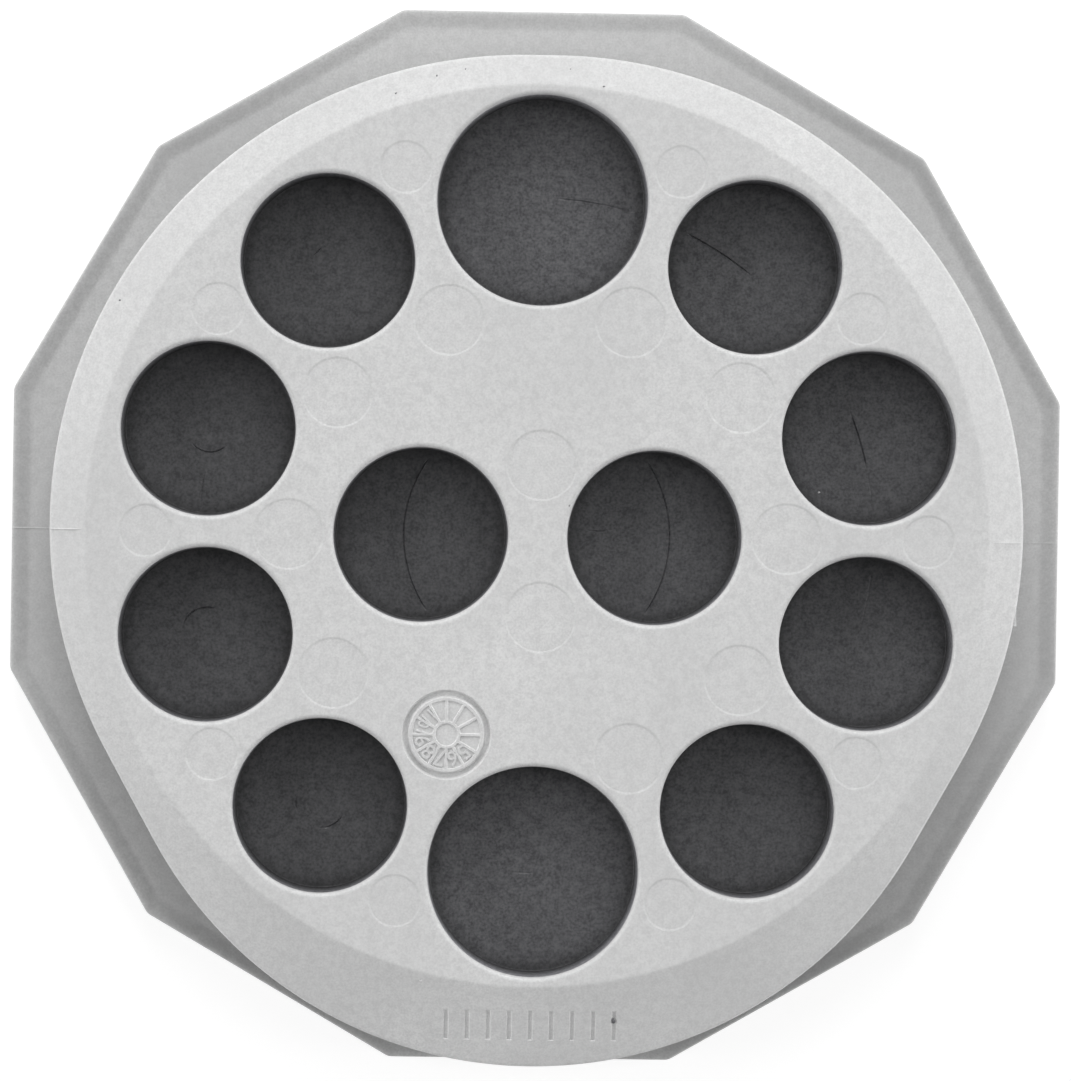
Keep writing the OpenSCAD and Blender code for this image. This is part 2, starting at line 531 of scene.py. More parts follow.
def makeLightMaterial():
    material, tree, (grain, flow, dust) = startMaterial("lightGreyElastomer", lightFinish)
    cloudy = addMix(tree, flow["Mask"], lightFinish["colour"], lightFinish["cloudDark"])
    share = times(tree, grain["Mask"], lightFinish["grainShare"])
    grained = addMix(tree, share, cloudy, lightFinish["grainDark"])
    finishMaterial(tree, lightFinish, grained, grain, dust)
    return material


darkFinish = {
    **bothFinishes,
    "colour": (0.117, 0.1175, 0.123),
    "grainDark": (0.038, 0.038, 0.042),
    "cloudShare": 0.25,
    "dustColour": (0.12, 0.12, 0.12),
    # Painted shade and light on the wall of a window, from the membrane up: darker at the membrane's edge
    # and at the wall's foot, lighter than the material towards the wall's top
    "paintedLightAndShadeByHeight": [
        (4.12, 1.0), (4.14, 0.88), (4.155, 0.7), (4.168, 0.52), (4.3, 0.26), (4.6, 0.32),
        (4.9, 0.6), (5.3, 0.9), (5.8, 1.3), (6.3, 1.8), (6.9, 2.5),
    ],
    "roughness": (0.50, 0.68),
    "specular": 0.70,
    "bump": 0.22,
    "grain": {"Scale": 5200.0, "Contrast": 3.6},
    "flow": {"Scale": 140.0, "Stretch": 0.8},
    "dust": {"Scale": 1300.0, "Size": 0.09},
    "paintedLightTones": {"left": 0.90, "right": 1.03, "large": 1.33},  # painted light: the left membranes darker and the large ones lighter, standing in for how much light reaches each window
}


def makeDarkMaterial(paintedLightGroup):
    material, tree, (grain, flow, dust) = startMaterial("darkGreyElastomer_" + paintedLightGroup, darkFinish)
    # Painted light: each group's colour is made lighter or darker by its tone
    tone = darkFinish["paintedLightTones"][paintedLightGroup]
    colour, grainDark = [tuple(v * tone for v in darkFinish[label]) for label in ("colour", "grainDark")]
    grained = addMix(tree, grain["Mask"], colour, grainDark)
    share = times(tree, flow["Mask"], darkFinish["cloudShare"])
    finishMaterial(tree, darkFinish, addMix(tree, share, grained, grainDark), grain, dust)
    return material


lightMaterial = makeLightMaterial()
darkMaterials = {paintedLightGroup: makeDarkMaterial(paintedLightGroup) for paintedLightGroup in darkFinish["paintedLightTones"]}
print("materials ready")


# Marks on the flat inner face and the cone

ejectors = {
    "depth": 0.05,
    "edge": 0.09,
    "corners": 56,
    "smallRadius": 1.78,
    "smallRing": 26.9,
    "smallAngles": [0, 34.6, 69.3, 110.5, 145.4, 180, 214.6, 249.4, 290.6, 325.4],
    "largeRadius": 2.4,
    "largeCentres": [
        (-6.30, 14.76), (6.20, 14.78), (-13.88, 9.66), (13.84, 9.72), (-17.13, -0.1), (17.13, 0.06),
        (14.02, -9.70), (-13.92, -9.60), (6.48, -15.20), (0.20, 4.88), (0.26, -5.58),
    ],
}

dial = {
    "x": -6.07,
    "y": -13.73,
    "grooveOuter": 3.02,
    "grooveInner": 2.62,
    "grooveDepth": 0.26,
    "grooveEdge": 0.16,
    "sectorOuter": 2.34,
    "sectorInner": 0.96,
    "hub": 0.76,
    "depth": 0.09,
    "edge": 0.06,
    "sectors": 12,
    "spokeWidth": 0.19,
    "numbers": [5, 6, 7, 8, 9, 10, 11],
    "numberHeight": 1.1,
    "singleDigit": 1.35,  # what the numbers under 10 are enlarged by
    "numberRise": 0.06,
    "numberSlope": 0.025,
}

faceLines = {
    "width": 0.12,
    "insertRadius": 9.0,  # a round insert of the mould left the face inside it a trace lower
    "insertDepth": 0.016,
    "insertEdge": 0.34,
    "ringRadius": 23.5,
    "ringDepth": 0.009,
    "ringArcs": [(67.9, 70.9), (109.1, 112.1), (33.2, 36.0), (144.0, 146.8), (178.5, 181.5)],
    "clearOf": 0.07,  # the insert's edge keeps this far from a window's mouth
    "clearOver": 0.5,
    "clearArc": 0.1,
}

ticks = {
    "count": 9,
    "pitch": 1.45,
    "width": 0.32,
    "height": 2.1,
    "y": -33.75,
    "depth": 0.09,
    "edge": 0.09,
}

flash = {
    "rise": 0.06,
    "flangeRise": 0.028,
    "rightShare": 0.45,
    "halfWidth": 0.07,
    "from": 31.25,
    "fade": 0.5,
    "lines": (-0.12, -0.06, 0, 0.06, 0.12),  # their directions, degrees from the X axis
}


def coneHeight(x, y):
    # The flat face, a soft edge and the cone outside it
    past = hypot(x, y) - sizes["faceRadius"]
    blend = sizes["faceBlend"]
    if past <= -blend:
        return faceTop
    if past >= blend:
        return faceTop - past * slopeTan
    return faceTop - slopeTan * (past + blend) ** 2 / (4 * blend)


def ejectorCircles():
    circles = [(x, y, ejectors["largeRadius"]) for x, y in ejectors["largeCentres"]]
    for angle in ejectors["smallAngles"]:
        centre = around(0, 0, ejectors["smallRing"], radians(angle))
        circles.append((*centre, ejectors["smallRadius"]))
    return circles


def spokeTurns():
    step = tau / dial["sectors"]
    return [pi / 2 + k * step for k in range(dial["sectors"])]


def dialDepth(x, y):
    px, py = x - dial["x"], y - dial["y"]
    distance = hypot(px, py)
    edge, wide = dial["edge"], dial["grooveEdge"]
    if distance > dial["grooveOuter"] + wide:
        return 0.0
    groove = band(distance, dial["grooveInner"], dial["grooveOuter"], wide)
    sector = band(distance, dial["sectorInner"], dial["sectorOuter"], edge)
    hub = ramp(distance - dial["hub"], edge)
    if sector > 0:
        for turn in spokeTurns():
            along = px * cos(turn) + py * sin(turn)
            across = abs(py * cos(turn) - px * sin(turn))
            if along > 0:
                sector = min(sector, ramp(dial["spokeWidth"] / 2 - across, edge))
    return max(dial["grooveDepth"] * smooth(groove), dial["depth"] * max(sector, hub))


def tickBoxes():
    half = (ticks["count"] - 1) / 2
    return [((k - half) * ticks["pitch"], ticks["y"]) for k in range(ticks["count"])]


def tickDepth(x, y):
    if abs(y - ticks["y"]) > ticks["height"]:
        return 0.0
    deepest = 0.0
    for cx, cy in tickBoxes():
        outside = max(abs(x - cx) - ticks["width"] / 2, abs(y - cy) - ticks["height"] / 2)
        deepest = max(deepest, ramp(outside, ticks["edge"]))
    return ticks["depth"] * deepest


def flashShare(x):
    return flash["rightShare"] if x > 0 else 1.0


def flashRise(x, y):
    inner = smooth((abs(x) - flash["from"]) / flash["fade"]) * flashShare(x)
    return flash["rise"] * inner * max(0.0, 1 - abs(y) / flash["halfWidth"])


def thinLines():
    radius, depth = faceLines["ringRadius"], faceLines["ringDepth"]
    return [(arcLine(0, 0, radius, start, end), depth) for start, end in faceLines["ringArcs"]]


def thinLineDepth(x, y, lines):
    deepest = 0.0
    distance = hypot(x, y)
    for line, depth in lines:
        radius = hypot(*line[0])
        if abs(distance - radius) < faceLines["width"]:
            share = 1 - lineDistance(x, y, line) / (faceLines["width"] / 2)
            deepest = max(deepest, depth * share)
    return deepest


def insertDepth(x, y):
    distance = hypot(x, y)
    if distance > faceLines["insertRadius"] + 1:
        return 0.0
    clear = 1.0
    for window in windows:
        past = hypot(x - window["x"], y - window["y"]) - window["mouth"] - faceLines["clearOf"]
        clear = min(clear, smooth(past / faceLines["clearOver"]))
    inside = ramp(distance - faceLines["insertRadius"], faceLines["insertEdge"])
    return faceLines["insertDepth"] * clear * inside


def insertArcs():
    # The insert's outline above and below, from one centre window to the other
    window = next(w for w in windows if "centre" in w["node"])
    away, clear = abs(window["x"]), window["mouth"] + faceLines["clearArc"]
    arcs = []
    for offset in (-0.5, 0, 0.5):
        radius = faceLines["insertRadius"] + offset * faceLines["insertEdge"]
        turn = degrees(acos((radius ** 2 + away ** 2 - clear ** 2) / (2 * radius * away)))
        arcs += [arcLine(0, 0, radius, start + turn, start + 180 - turn) for start in (0, 180)]
    return arcs


# Outline of the lip: the hull of two lobe circles and one nose circle

def lipCircles():
    turn = radians(sizes["lobeAngle"])
    shift = sizes["lobeShift"]
    right = Vector(around(0, 0, shift, turn))
    left = Vector((-right.x, right.y))
    nose = Vector((0, -sizes["noseShift"]))
    toNose = nose - left
    touch = atan2(toNose.y, toNose.x) + tau
    touch -= acos((sizes["lobeRadius"] - sizes["noseRadius"]) / toNose.length)
    return right, left, nose, touch


def lipPlace(share):
    # One place on the outline, by its share of the way round: the point and the outward direction
    right, left, nose, touch = lipCircles()
    lobe, tip = sizes["lobeRadius"], sizes["noseRadius"]
    arcs = [
        (right, lobe, pi - touch, pi / 2),
        (left, lobe, pi / 2, touch),
        (nose, tip, touch, 3 * pi - touch),
    ]
    position = share * 6
    leg = min(5, int(position))
    part = position - leg
    centre, radius, start, end = arcs[leg // 2]
    if leg % 2 == 0:
        turn = start + (end - start) * part
        outward = Vector(around(0, 0, 1, turn))
        return centre + radius * outward, outward
    nextCentre, nextRadius = arcs[(leg // 2 + 1) % 3][:2]
    outward = Vector(around(0, 0, 1, end))
    first = centre + radius * outward
    return first.lerp(nextCentre + nextRadius * outward, part), outward


def lipPlaceAt(polar):
    # The place that lies in one direction from the axis
    begin = polarOf(*lipPlace(0)[0])
    wanted = (polar - begin) % tau
    low, high = 0.0, 1.0
    for _ in range(44):
        middle = (low + high) / 2
        if (polarOf(*lipPlace(middle)[0]) - begin) % tau < wanted:
            low = middle
        else:
            high = middle
    return lipPlace((low + high) / 2)


def columnAngles():
    # Directions of the columns of faces that run from the lip to the outer face
    sides = sizes["flangeSides"]
    angles = {round(k * meshSteps["column"], 4) for k in range(360)}
    for side in range(sides):
        corner = (side + 0.5) * 360 / sides
        angles |= {round(corner + k * meshSteps["cornerColumn"], 4) for k in range(-10, 11)}
    for centre in (0, 180):
        for offset in meshSteps["flashColumns"]:
            angles |= {round((centre + offset) % 360, 4), round((centre - offset) % 360, 4)}
    return [radians(angle) for angle in sorted(angles)]


def flangePoint(polar, inset):
    # A point of the twelve-sided outline, moved inwards, with rounded corners
    step = tau / sizes["flangeSides"]
    flat = sizes["flangeFlats"] / 2 - inset
    radius = max(sizes["cornerRadius"] - inset, sizes["cornerLeast"])
    if inset > sizes["crestWidth"]:
        share = min(1.0, (inset - sizes["crestWidth"]) / sizes["slopeWidth"])
        radius += (sizes["footCorner"] - radius) * share
    side = round(polar / step)
    turn = polar - side * step
    core = flat - radius
    cornerY = core * tan(step / 2)
    x, y = flat, flat * tan(turn)
    if abs(y) > cornerY:
        # The line meets the corner's circle: solve for the distance along it
        cy = copysign(cornerY, y)
        dot = core * cos(turn) + cy * sin(turn)
        reach = dot + sqrt(max(0.0, dot * dot - core * core - cy * cy + radius * radius))
        x, y = reach * cos(turn), reach * sin(turn)
    cosine, sine = cos(side * step), sin(side * step)
    return x * cosine - y * sine, x * sine + y * cosine


meshSteps = {
    "edge": 0.06,  # width of the first faces inside an edge
    "beside": 0.1,  # width of the faces beside a rounded edge
    "foot": 0.12,  # width of the faces at the foot of a slope
    "underLip": 0.08,
    "column": 1.0,  # degrees from one column of faces to the next, and near the flange's corners
    "cornerColumn": 0.25,
    "flashColumns": (0.06, 0.12, 0.22, 0.4),  # degrees from the parting plane
    "faceCircle": 360,  # corners of the circles round the flat face
    "window": (0, 0.07),  # rings round a window's edge
    "centreWindow": (0, 0.07, 0.3, 0.57),
    "cone": (0.35, 0.7),  # rings between the flat face and the lip's edge, by their share of the way
    "side": (0.12, 0.88),  # rows on the lip's side, by their share of the way down
    "mouth": 5,
    "lipEdge": 6,
    "lipBevel": 3,
    "fillet": 4,
    "slope": 8,
    "crestEdge": 3,
    "outerEdge": 7,
}


def lipRows(places):
    # Rows of the lip below its upper edge, each a list of points
    edge, slope = sizes["lipEdge"], radians(sizes["lipSlope"])
    base, bevel = sizes["lipBase"], sizes["lipBevel"]
    rows = []
    steps = meshSteps["lipEdge"]

    def ballHeight(point, outward):
        end = point - outward * lipInset
        return faceTop - (end.length - sizes["faceRadius"]) * slopeTan - edge * cos(slope)

    for k in range(steps - 1, -1, -1):
        turn = (pi / 2 - slope) * k / steps
        row = []
        for point, outward in places:
            moved = point - outward * edge * (1 - cos(turn))
            row.append((moved.x, moved.y, ballHeight(point, outward) + edge * sin(turn)))
        rows.append(row)
    for share in meshSteps["side"]:
        rows.append([(p.x, p.y, ballHeight(p, o) * (1 - share) + (base + bevel) * share) for p, o in places])
    for up, across in quarterTurn(meshSteps["lipBevel"]):
        rows.append([(*(p - o * bevel * across), base + bevel * up) for p, o in places])
    rows.append([(*(p - o * (bevel + meshSteps["underLip"])), base) for p, o in places])
    return rows


def flangeRow(angles, inset, z):
    return [(*flangePoint(a, inset), z) for a in angles]


def neckAndFlangeRows(angles):
    neck, fillet = sizes["neckRadius"], sizes["neckFillet"]
    base, top, crest = sizes["lipBase"], sizes["flangeTop"], sizes["crestTop"]
    crestEdge, outerEdge, slope = sizes["crestEdge"], sizes["outerEdge"], sizes["slopeWidth"]
    foot = neck + fillet
    fillets = quarterTurn(meshSteps["fillet"])
    rows = [circleRow(angles, foot + meshSteps["edge"], base)]
    rows += [circleRow(angles, neck + fillet * across, base - fillet * down) for across, down in fillets]
    rows.append(circleRow(angles, neck, (base + top) / 2))
    rows += [circleRow(angles, neck + fillet * across, top + fillet * up) for up, across in fillets]
    rows.append(circleRow(angles, foot + meshSteps["beside"], top))
    # One row half way between the neck and the sealing border
    rows.append([
        tuple(Vector(a).lerp(Vector(b), 0.5))
        for a, b in zip(circleRow(angles, foot, top), flangeRow(angles, 1.5, top))
    ])
    inner = sizes["crestWidth"] + slope
    rows.append(flangeRow(angles, inner + meshSteps["foot"], top))
    for k in range(meshSteps["slope"] + 1):
        share = k / meshSteps["slope"]
        rise = 0.6 * share + 0.4 * smooth(share)  # a straight slope with soft ends
        rows.append(flangeRow(angles, inner - share * slope, top + (crest - top) * rise))
    for across, down in quarterTurn(meshSteps["crestEdge"]):
        rows.append(flangeRow(angles, crestEdge * across, crest - crestEdge * down))
    rows.append(flangeRow(angles, 0, (crest + outerEdge) / 2))
    for up, across in quarterTurn(meshSteps["outerEdge"]):
        rows.append(flangeRow(angles, outerEdge * across, outerEdge * up))
    return rows


def liftFlash(rows):
    # A thin fin of flash on the parting plane of the mould, at both ends of the X axis
    for row in rows:
        for k, (x, y, z) in enumerate(row):
            share = max(0.0, 1 - abs(y) / flash["halfWidth"])
            if share > 0:
                row[k] = (x, y, z + flash["flangeRise"] * flashShare(x) * share)


def windowCircles(window):
    # Section of one window from the rounded mouth to the outer face: radius and height
    bore, bottom, sleeve = window["bore"], window["bottom"], window["sleeveTop"]
    mouth, edge, bevel = bore + recessGrow, sizes["mouthRound"], sizes["entryBevel"]
    circles = []
    steps = meshSteps["mouth"]
    for k in range(1, steps + 1):
        turn = radians(90 - sizes["recessDraft"]) * k / steps
        circles.append((mouth + edge * (1 - sin(turn)), faceTop - edge * (1 - cos(turn))))
    circles.append((mouth - sizes["rimHeight"] * recessTan, sleeve))
    seat = bore + sizes["seatDepth"]
    circles += [(seat, sleeve), (seat, bottom), (bore, bottom), (bore, (bottom + bevel) / 2), (bore, bevel)]
    return circles


def innerFaceMesh(places):
    near = lipInset + meshSteps["edge"]
    faceRadius, blend, past = sizes["faceRadius"], sizes["faceBlend"], meshSteps["beside"]
    loops = [[tuple(point - outward * inset) for point, outward in places] for inset in (lipInset, near)]
    for offset in (-blend - past, -blend, -blend / 3, blend / 3, blend, blend + past):
        loops.append(circleLoop(0, 0, faceRadius + offset, meshSteps["faceCircle"]))
    for share in meshSteps["cone"]:
        ring = []
        for point, outward in places[::2]:
            inner = point.normalized() * (faceRadius + blend + past)
            ring.append(tuple(inner.lerp(point - outward * near, share)))
        loops.append(ring)
    for window in windows:
        steps = meshSteps["centreWindow" if "centre" in window["node"] else "window"]
        loops += windowLoops(window, "mouth", steps)
    circles = ejectorCircles()
    edge = ejectors["edge"]
    for x, y, radius in circles:
        for offset in (-edge / 2 - meshSteps["edge"], -edge / 2, edge / 2, edge / 2 + meshSteps["edge"]):
            loops.append(circleLoop(x, y, radius + offset, ejectors["corners"]))
    loops += dialLoops()
    for x, y in tickBoxes():
        for offset in (-0.5, 0.5, 1.2):
            half = ticks["width"] / 2 + ticks["edge"] * offset
            tall = ticks["height"] / 2 + ticks["edge"] * offset
            loops.append([(x + half * i, y + tall * j) for i, j in ((-1, -1), (1, -1), (1, 1), (-1, 1))])
    lines = dialLines() + insertArcs()
    marks = thinLines()
    for line, _ in marks:
        for offset in (-1, -0.5, 0, 0.5, 1):
            lines.append(besideLine(line, offset * faceLines["width"]))
    for side in (0, pi):
        for offset in flash["lines"]:
            turn = side + radians(offset)
            point, outward = lipPlaceAt(turn)
            start = Vector(around(0, 0, 1, turn)) * (faceRadius + blend + meshSteps["foot"])
            lines.append([tuple(start.lerp(point - outward * near, k / 4)) for k in range(5)])

    def heightAt(x, y):
        z = coneHeight(x, y)
        for cx, cy, radius in circles:
            if max(abs(x - cx), abs(y - cy)) < radius + edge:
                z -= ejectors["depth"] * ramp(hypot(x - cx, y - cy) - radius, edge)
        z -= dialDepth(x, y) + tickDepth(x, y) + thinLineDepth(x, y, marks) + insertDepth(x, y)
        return z + flashRise(x, y)

    plane, faces = planeMesh(loops, lines, outsideWindows("mouth"))
    return plane, faces, heightAt


def dialLoops():
    # Circles at the top and the foot of each slope, and more of them in the soft groove
    loops = []
    x, y, grooveEdge = dial["x"], dial["y"], dial["grooveEdge"]
    corners = {"grooveOuter": 96, "grooveInner": 96, "sectorOuter": 96, "sectorInner": 60, "hub": 48}
    for name, count in corners.items():
        edge, shares = dial["edge"], (-0.5, 0.5)
        if name.startswith("groove"):
            edge, shares = grooveEdge, (-0.5, -0.25, 0, 0.25, 0.5)
        for share in shares:
            loops.append(circleLoop(x, y, dial[name] + share * edge, count))
    loops.append(circleLoop(x, y, dial["grooveOuter"] + grooveEdge, corners["grooveOuter"]))
    return loops


def dialLines():
    # Sides of the raised spokes, at the top and the foot of their slopes
    lines = []
    edge = dial["edge"]
    for turn in spokeTurns():
        for side in (-1, 1):
            for offset in (-edge / 2, edge / 2):
                across = side * (dial["spokeWidth"] / 2 + offset)
                line = []
                for reach in (dial["sectorInner"] - edge / 2, dial["sectorOuter"] + edge / 2):
                    along = sqrt(reach * reach - across * across)
                    x = dial["x"] + along * cos(turn) - across * sin(turn)
                    y = dial["y"] + along * sin(turn) + across * cos(turn)
                    line.append((x, y))
                lines.append(line)
    return lines


def outerFaceMesh(angles):
    insets = (sizes["outerEdge"], sizes["outerEdge"] + meshSteps["beside"])
    loops = [[flangePoint(a, inset) for a in angles] for inset in insets]
    for window in windows:
        loops += windowLoops(window, "entry", meshSteps["window"])
    return planeMesh(loops, [], outsideWindows("entry"))


def ringRound(rings, points, x, y, reach):
    # The one open ring that lies at about this distance from a centre all the way round
    for ring in rings:
        if all(abs(hypot(points[i][0] - x, points[i][1] - y) - reach) < 0.01 for i in ring):
            return inOrder(ring, points, x, y)
    raise RuntimeError(f"no ring of radius {reach:.2f} round {x:.2f}, {y:.2f}")


def buildBody():
    shell = Shell()
    angles = sorted(columnAngles(), key=fromStart)
    places = [lipPlaceAt(a) for a in angles]

    topPlane, topFaces, heightAt = innerFaceMesh(places)
    topRings = shell.sheet(topPlane, topFaces, heightAt)
    bottomPlane, bottomFaces = outerFaceMesh(angles)
    bottomRings = shell.sheet(bottomPlane, bottomFaces, lambda x, y: 0.0)

    rows = lipRows(places) + neckAndFlangeRows(angles)[:-1]
    liftFlash(rows)
    longest = max(topRings, key=len)
    upper = shell.bridgeRows(inOrder(longest, shell.points, 0, 0), rows)
    lower = inOrder(max(bottomRings, key=len), shell.points, 0, 0)
    if not len(upper) == len(lower) == len(longest):
        raise RuntimeError(f"the rings of the body don't match: {len(upper)}, {len(lower)}, {len(longest)}")
    shell.bridge(upper, lower)

    for window in windows:
        x, y = window["x"], window["y"]
        upper = ringRound(topRings, shell.points, x, y, window["mouth"])
        upper = shell.bridgeCircles(upper, x, y, windowCircles(window))
        shell.bridge(upper, ringRound(bottomRings, shell.points, x, y, window["entry"]))
    body = shell.finish("grommet_body", sizes["sharpAngle"], lightMaterial, "soft_body", ["body"])
    print("body", len(body.data.vertices), "points")


# Membranes: a dished disc in each window, with the hairlines its own mould left

cup = {
    "dish": 0.2,
    "gap": 0.012,  # between a membrane and its seat in the body
    "foot": 0.04,  # fillet between the membrane and the sleeve round it
    "footSteps": 4,
    "rings": (0.96, 0.92, 0.85, 0.8, 0.7, 0.6, 0.5, 0.4, 0.3, 0.2, 0.1),  # by their share of the radius
    "lineWidth": 0.142,
    "lineDepth": 0.10,
    "lineMargin": 0.25,  # the hairlines end this far inside the bore
    "lineFade": 0.8,  # length over which a hairline fades in
    "lineEnd": 0.15,  # share of its depth at its very ends
    "lineStep": 0.15,
    "ringRadius": 23.42,
    "insertRadius": 9.24,
    "sharpAngle": 40,
}

# The hairlines of each membrane, as arcs: "ring" or "insert" where they run round the grommet's
# axis, or else their radius round the membrane's own centre, then the first and last angle and
# the share of the full depth
hairlines = {
    "large_membrane_1": [("ring", 74, 88, 0.6)],
    "large_membrane_2": [("ring", 266, 271, 0.4)],
    "small_membrane_1": [(1.4, 40, 75, 0.7)],
    "small_membrane_2": [("ring", -18, -4.5, 0.5)],
    "small_membrane_3": [("ring", 12, 22.5, 1.0), ("ring", 3, 12, 0.4)],
    "small_membrane_4": [("ring", 51, 65.5, 1.0)],
    "small_membrane_5": [(1.1, 100, 170, 0.8)],
    "small_membrane_6": [("ring", 169.5, 176.5, 0.55), (1.62, 215, 320, 0.9)],
    "small_membrane_7": [(1.78, 62, 168, 0.9)],
    "small_membrane_8": [(1.75, 165, 200, 0.9), (1.75, 268, 335, 0.9), (0.95, 0, 359, 0.25)],
    "centre_membrane_1": [("insert", -42, 42, 0.8)],
    "centre_membrane_2": [("insert", 138, 222, 0.8)],
}
crossLine = {"node": "centre_membrane_1", "points": [(-4.7, 0.45), (-3.7, 0.4), (-2.6, 0.5)], "share": 0.7}


def membraneLines(window):
    x, y = window["x"], window["y"]
    found = []
    for path, start, end, share in hairlines[window["node"]]:
        if path in ("ring", "insert"):
            line = arcLine(0, 0, cup[path + "Radius"], start, end)
        else:
            line = arcLine(x, y, path, start, end, cup["lineStep"])
        found.append((line, share))
    if window["node"] == crossLine["node"]:
        found.append(([(x + px, y + py) for px, py in crossLine["points"]], crossLine["share"]))
    inside = []
    reach = window["bore"] - cup["lineMargin"]
    for line, share in found:
        kept = [p for p in line if hypot(p[0] - x, p[1] - y) < reach]
        if len(kept) > 1:
            inside.append((kept, share))
    return inside


def buildMembrane(window):
    x, y, bore, count = window["x"], window["y"], window["bore"], window["count"]
    gap, foot = cup["gap"], cup["foot"]
    outside = bore + sizes["seatDepth"] - gap
    inner = bore - foot
    top, bottom = window["top"], window["bottom"] + gap
    marks = membraneLines(window)
    loops = [circleLoop(x, y, inner, count), circleLoop(x, y, inner - meshSteps["beside"], count)]
    for share in cup["rings"]:
        loops.append(circleLoop(x, y, inner * share, max(8, int(count * share))))
    half = cup["lineWidth"] / 2
    lines = [besideLine(line, offset * half) for line, _ in marks for offset in (-2, -1, 0, 1, 2)]

    def heightAt(px, py):
        distance = hypot(px - x, py - y)
        hollow = cup["dish"] * max(0.0, 1 - (distance / inner) ** 2)
        deepest = 0.0
        for line, share in marks:
            away = lineDistance(px, py, line)
            if away < half:
                ends = min(hypot(px - a, py - b) for a, b in (line[0], line[-1]))
                fade = smooth(ends / cup["lineFade"] + cup["lineEnd"])
                deepest = max(deepest, share * (1 - away / half) * fade)
        return top - hollow - cup["lineDepth"] * deepest

    shell = Shell()
    plane, faces = planeMesh(loops, lines, lambda px, py: True)
    upper = inOrder(shell.sheet(plane, faces, heightAt)[0], shell.points, x, y)
    circles = []
    steps = cup["footSteps"]
    for k in range(1, steps + 1):
        turn = pi / 2 * k / steps
        circles.append((inner + foot * sin(turn), top + foot * (1 - cos(turn))))
    sleeve = window["sleeveTop"] - gap
    sleeveInner = bore + (sleeve - top) * recessTan
    circles += [((bore + sleeveInner) / 2, (top + foot + sleeve) / 2), (sleeveInner, sleeve)]
    circles += [(outside, sleeve), (outside, bottom)]
    shell.faces.append(shell.bridgeCircles(upper, x, y, circles))
    # Painted light: the left membranes take a darker material, the large ones a lighter one
    paintedLightGroup = "large" if "large" in window["node"] else "left" if x < 0 else "right"
    node, sharpAngle = window["node"], cup["sharpAngle"]
    shell.finish("thin_" + node, sharpAngle, darkMaterials[paintedLightGroup], "soft_membrane", [node])


def buildMembranes():
    for window in windows:
        buildMembrane(window)
    print("membranes", len(windows))


# Plain numbers of the date dial

def buildDialNumbers():
    floor = faceTop - dial["depth"]
    middle = (dial["sectorInner"] + dial["sectorOuter"]) / 2
    step = tau / dial["sectors"]
    points, faces = [], []
    for number in dial["numbers"]:
        curve = bpy.data.curves.new(f"number{number}", "FONT")
        curve.body = str(number)
        curve.size = dial["numberHeight"] * (dial["singleDigit"] if number < 10 else 1.0)
        curve.extrude = dial["numberRise"] / 2
        curve.bevel_depth = dial["numberSlope"]
        curve.offset = -dial["numberSlope"] / 2
        curve.resolution_u = 4
        curve.align_x = "CENTER"
        curve.align_y = "CENTER"
        source = bpy.data.objects.new(f"number{number}", curve)
        mesh = bpy.data.meshes.new_from_object(source)
        turn = pi / 2 - (number - 0.5) * step
        x, y = around(dial["x"], dial["y"], middle, turn)
        seat = Matrix.Translation((x, y, floor + dial["numberRise"] / 2))
        place = seat @ Matrix.Rotation(turn - pi / 2, 4, "Z")
        first = len(points)
        points += [tuple((place @ v.co) * mm) for v in mesh.vertices]
        faces += [[first + i for i in face.vertices] for face in mesh.polygons]
        bpy.data.objects.remove(source)
        bpy.data.meshes.remove(mesh)
        bpy.data.curves.remove(curve)
    mesh = bpy.data.meshes.new("dial_numbers")
    mesh.from_pydata(points, [], faces)
    weld(mesh)
    placePiece("dial_numbers", mesh, lightMaterial)
    print("dial numbers", len(dial["numbers"]))


# Dust, a nick and a burr, as on a part that has just left its mould

specks = {
    "dark": [
        (-10.20, 30.26, 0.07), (4.07, 30.94, 0.08), (-28.93, 15.78, 0.075), (2.10, 2.15, 0.08),
        (5.74, -33.37, 0.17), (-7.40, 31.53, 0.07), (-5.44, 32.03, 0.055), (1.77, 32.14, 0.045),
    ],
    "light": [(-7.58, -30.68, 0.10), (19.56, 3.31, 0.08)],
    "corners": 9,
    "section": ((0.7, -0.5), (1.0, -0.1), (0.8, 0.6), (0.4, 0.95)),  # radius and height of each ring
    "rise": 0.45,  # height of a speck, by its radius
    "uneven": (0.22, 0.1),  # how far its outline goes in and out, twice and three times round
}

burr = {
    "from": -7.9,  # directions of its thin and its blunt end, degrees
    "to": -9.8,
    "steps": 8,
    "reach": 0.24,  # how far its blunt end stands out
    "thinShare": 0.15,
    "widening": 1.6,
    "root": 0.16,  # how far it starts inside the lip's edge
    "inside": 0.22,  # it follows the cone's height at this distance inside the edge
    "below": 0.3,  # and lies this much lower
    "ridge": 0.3,  # where it is thickest, by its reach
    "thinHalf": 0.03,  # half its thickness at the thin end, and what it gains towards the blunt one
    "gain": 0.05,
    "tipRise": 0.6,
}


def surfaceHeight(x, y):
    for window in windows:
        distance = hypot(x - window["x"], y - window["y"])
        if distance < window["bore"]:
            return window["top"] - cup["dish"] * (1 - (distance / window["bore"]) ** 2)
    return coneHeight(x, y)


